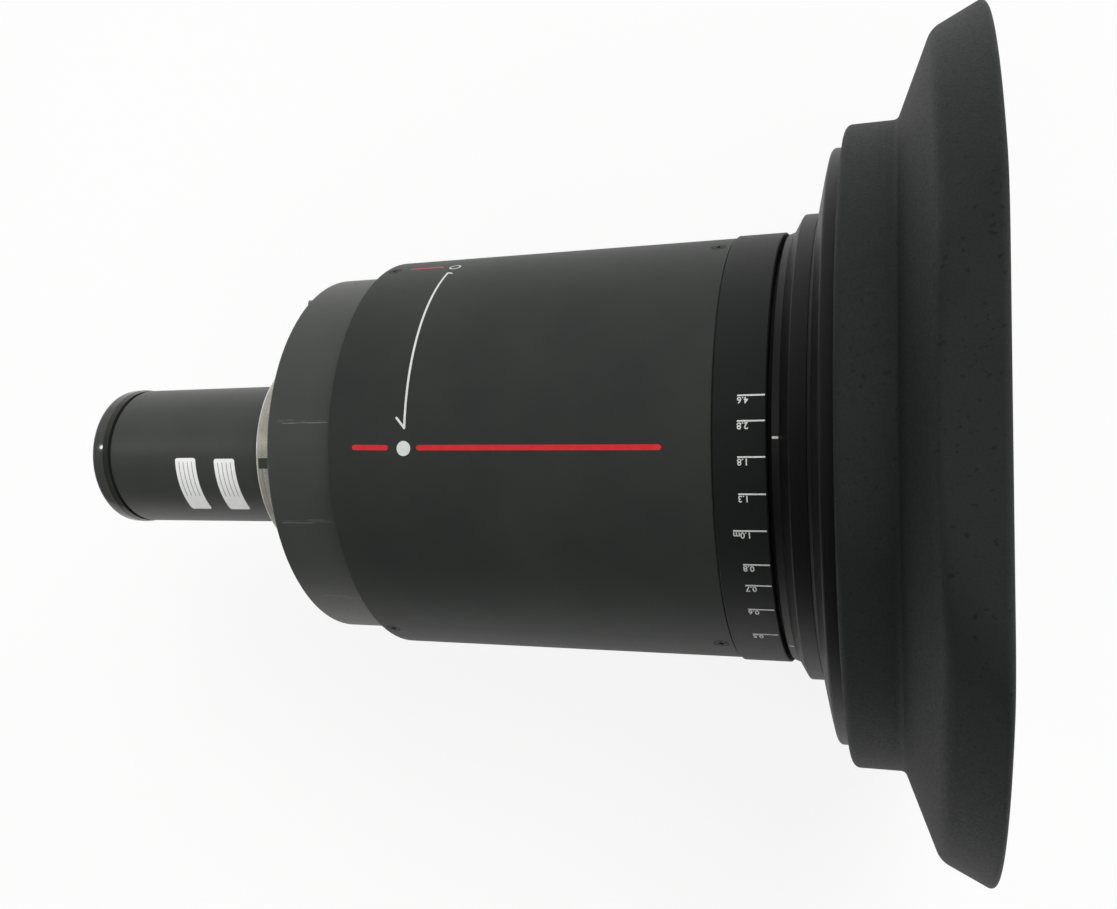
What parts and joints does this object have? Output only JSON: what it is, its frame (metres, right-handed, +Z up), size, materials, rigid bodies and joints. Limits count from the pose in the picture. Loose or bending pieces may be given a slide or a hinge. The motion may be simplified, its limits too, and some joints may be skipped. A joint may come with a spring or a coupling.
{
  "type": "projection lens",
  "caption": "Ultra-wide projection lens with bayonet collar, motorised focus ring with distance scale, glass front dome and large flared hood.",
  "frame": {"origin": "on the optical axis, at the shoulder where the sleeve meets the projector's lens mount", "axes": "+X along the optical axis towards the screen, +Z up when the lens is mounted with its red line on top, +Y to the left seen from the projector"},
  "size_m": [0.3659, 0.2948, 0.271],
  "materials": {
    "gloss_black": "gloss black anodised aluminium",
    "black_anodised": "satin black anodised aluminium",
    "charcoal_coat": "fine matte charcoal coat on aluminium",
    "bare_aluminium": "turned bare aluminium",
    "hood_plastic": "moulded matte black plastic with a fine grain",
    "optical_glass": "coated optical glass",
    "inner_black": "matte black anodised aluminium",
    "steel": "plain steel fasteners",
    "black_steel": "blackened steel screws",
    "brass": "machined brass",
    "drive_metal": "plain metal motor cans",
    "plug_black": "moulded black plastic",
    "board_green": "solder-masked circuit board",
    "sensor_blue": "moulded blue plastic",
    "white_plastic": "natural acetal",
    "wire_red": "red insulated wire bundle",
    "seal_rubber": "black rubber"
  },
  "bodies": {
    "lens_body": {"rear_end_ring": "gloss_black", "rear_barrel": "black_anodised", "rear_element_a": "optical_glass", "rear_spacer": "inner_black", "rear_element_b": "optical_glass", "rear_retaining_ring": "inner_black", "mount_hub": "bare_aluminium", "hub_screws": "steel", "mount_collar": "black_anodised", "collar_key_pin": "steel", "contact_block": "plug_black", "contact_pins": "brass", "inner_barrel": "inner_black", "barrel_screws": "steel", "barrel_flange": "inner_black", "outer_sleeve": "charcoal_coat", "sleeve_screws_rear": "black_steel", "sleeve_screws_front": "black_steel", "mid_cell": "inner_black", "mid_element_a": "optical_glass", "mid_element_b": "optical_glass", "aperture_plate": "inner_black", "mid_retaining_ring": "inner_black", "front_bulkhead": "drive_metal", "focus_motor": "drive_metal", "motor_gearbox": "drive_metal", "sensor_body": "sensor_blue", "limit_switches": "plug_black", "circuit_board": "board_green", "board_standoffs": "brass", "board_screws": "steel", "board_parts": "plug_black", "wiring": "wire_red", "focus_bushing": "brass", "front_barrel": "charcoal_coat", "front_barrel_screws": "steel", "hood_adapter": "charcoal_coat", "adapter_screws": "steel", "front_cell": "inner_black", "cell_screws": "black_steel", "front_element_b": "optical_glass", "element_retainer": "inner_black", "dome_gasket": "seal_rubber", "front_dome": "optical_glass", "front_retaining_ring": "black_anodised", "hood": "hood_plastic", "hood_screws": "black_steel"},
    "focus_ring_body": {"focus_ring": "charcoal_coat", "focus_gear": "brass", "cam_screws": "steel", "cam_tube": "drive_metal"},
    "focus_group": {"focus_cell": "inner_black", "follower_pins": "steel", "follower_rollers": "brass", "focus_element_a": "optical_glass", "focus_element_b": "optical_glass", "focus_retaining_ring": "inner_black"},
    "pinion_body": {"motor_pinion": "brass"},
    "sensor_gear_body": {"sensor_gear": "white_plastic"}
  },
  "joints": [
    {"name": "focus_turn", "type": "hinge", "parent": "lens_body", "child": "focus_ring_body", "pos_m": [0.144, 0, 0], "axis": [1, 0, 0], "range_deg": [-56, 21]},
    {"name": "focus_slide", "type": "slide", "parent": "lens_body", "child": "focus_group", "axis": [1, 0, 0], "range_m": [-0.0031, 0.0013]},
    {"name": "pinion_turn", "type": "hinge", "parent": "lens_body", "child": "pinion_body", "pos_m": [0.1373, -0.04979, -0.04178], "axis": [1, 0, 0], "range_deg": [-208, 552]},
    {"name": "sensor_turn", "type": "hinge", "parent": "lens_body", "child": "sensor_gear_body", "pos_m": [0.1373, -0.01505, -0.06323], "axis": [1, 0, 0], "range_deg": [-208, 552]}
  ],
  "couplings": [
    {"joint": "focus_slide", "follows": "focus_turn", "m_per_rad": 0.0030558},
    {"joint": "pinion_turn", "follows": "focus_turn", "ratio": -9.8333},
    {"joint": "sensor_turn", "follows": "focus_turn", "ratio": -9.8333}
  ]
}
